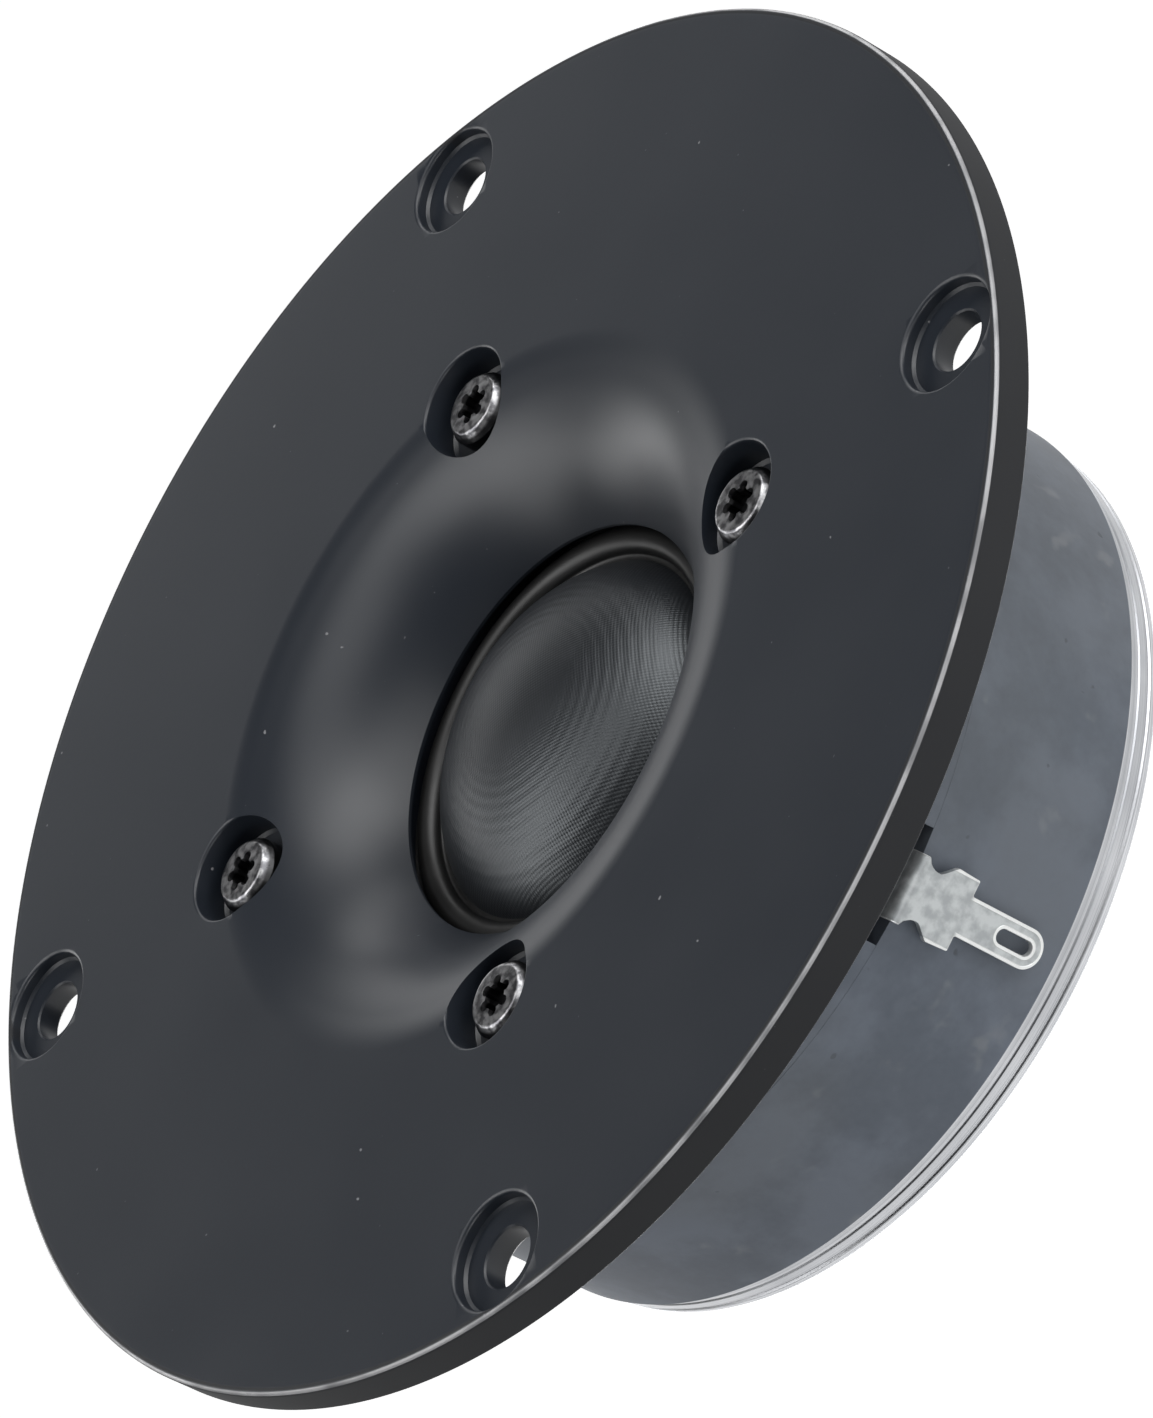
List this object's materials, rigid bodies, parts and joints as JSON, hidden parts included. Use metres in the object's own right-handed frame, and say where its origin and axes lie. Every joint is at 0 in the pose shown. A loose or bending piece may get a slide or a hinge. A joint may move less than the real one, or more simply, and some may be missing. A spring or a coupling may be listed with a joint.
{
  "type": "soft-dome tweeter",
  "caption": "Soft-dome tweeter with a flat round faceplate, a short waveguide, a ferrite ring motor and two solder tabs.",
  "frame": {"origin": "on the dome's axis, at the rear face of the motor's back plate", "axes": "+Z along the dome's axis, towards the listener; -Y towards the negative tab and +Y towards the positive tab; the mounting holes lie on the diagonals"},
  "size_m": [0.104, 0.104, 0.033],
  "materials": {
    "black_satin": "satin black powder coat on die-cast aluminium",
    "dark_chrome": "black chromate on steel",
    "steel": "turned",
    "foam": "closed-cell foam",
    "black_plastic": "moulded, matte",
    "tinned_sheet": "tinned brass sheet, slightly dull",
    "solder": "bright",
    "copper_wire": "bare stranded",
    "surround_cloth": "coated, glossy",
    "dome_silk": "coated silk, semi-matte",
    "former_sheet": "polyimide film",
    "winding_wire": "enamelled",
    "phosphated_steel": "grey-blue passivated steel",
    "ferrite": "ground, faintly mottled",
    "zinc_plated_steel": "bright zinc over turned steel",
    "copper": "bright",
    "aluminium": "turned",
    "felt": "wool felt"
  },
  "bodies": {
    "root": {"faceplate": "black_satin", "faceplate_screws": "dark_chrome", "locating_pins": "steel", "clamp_gasket": "foam", "terminal_carrier": "black_plastic", "terminal_minus": "tinned_sheet", "terminal_plus": "tinned_sheet", "solder_joints": "solder", "lead_wires": "copper_wire", "lead_loops": "copper_wire", "surround": "surround_cloth", "top_plate": "phosphated_steel", "magnet": "ferrite", "back_plate": "zinc_plated_steel", "pole_piece": "steel", "copper_cap": "copper", "shorting_ring": "aluminium", "pole_felt": "felt", "cavity_felt": "felt"},
    "diaphragm": {"dome": "dome_silk", "coil_former": "former_sheet", "coil_winding": "winding_wire", "coil_leads": "winding_wire"}
  },
  "joints": [
    {"name": "dome_travel", "type": "slide", "parent": "root", "child": "diaphragm", "axis": [0, 0, 1], "range_m": [-0.0005, 0.0005], "stiffness_N_per_m": 1000, "deforming": ["surround", "lead_loops"]}
  ]
}
